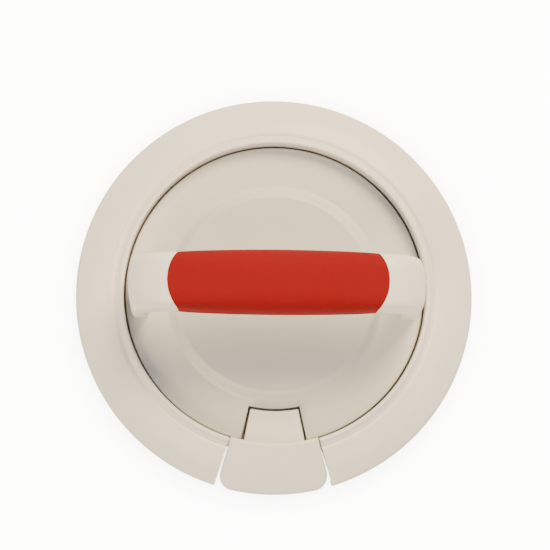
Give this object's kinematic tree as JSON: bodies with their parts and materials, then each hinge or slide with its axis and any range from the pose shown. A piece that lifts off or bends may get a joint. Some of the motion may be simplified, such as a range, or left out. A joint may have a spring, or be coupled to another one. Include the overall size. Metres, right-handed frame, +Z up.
{
  "type": "patty press",
  "caption": "Round hand press for burger patties: shallow rimmed base, press head with a soft-grip bridge handle, lift-out tray with a front tab, and a dimple disc.",
  "frame": {"origin": "on the table, under the middle of the round base", "axes": "+Z up, +X along the handle to the right, -Y towards the front, where the lift tab is"},
  "size_m": [0.15, 0.15, 0.0616],
  "materials": {
    "white_plastic": "satin moulded",
    "grip_rubber": "matte soft-touch",
    "insert_plastic": "frosted",
    "foot_rubber": "matte",
    "gasket_silicone": "matte",
    "screw_steel": "satin"
  },
  "bodies": {
    "base": {"base_rim": "white_plastic", "base_pan": "white_plastic", "foot_front_left": "foot_rubber", "foot_front_right": "foot_rubber", "foot_rear_left": "foot_rubber", "foot_rear_right": "foot_rubber"},
    "tray": {"lift_tray": "white_plastic"},
    "insert": {"dimple_insert": "insert_plastic"},
    "press": {"press_face": "white_plastic", "press_gasket": "gasket_silicone", "press_top_plate": "white_plastic", "handle_upper_shell": "white_plastic", "handle_lower_shell": "white_plastic", "grip_upper": "grip_rubber", "grip_lower": "grip_rubber", "leg_screws_left": "screw_steel", "leg_screws_right": "screw_steel", "grip_screws": "screw_steel", "screw_plug_left": "grip_rubber", "screw_plug_right": "grip_rubber"}
  },
  "joints": [
    {"name": "tray_lift", "type": "slide", "parent": "base", "child": "tray", "axis": [0, 0, 1], "range_m": [0, 0.03]},
    {"name": "insert_lift", "type": "slide", "parent": "tray", "child": "insert", "axis": [0, 0, 1], "range_m": [0, 0.025]},
    {"name": "press_lift", "type": "slide", "parent": "insert", "child": "press", "axis": [0, 0, 1], "range_m": [0, 0.045]}
  ]
}
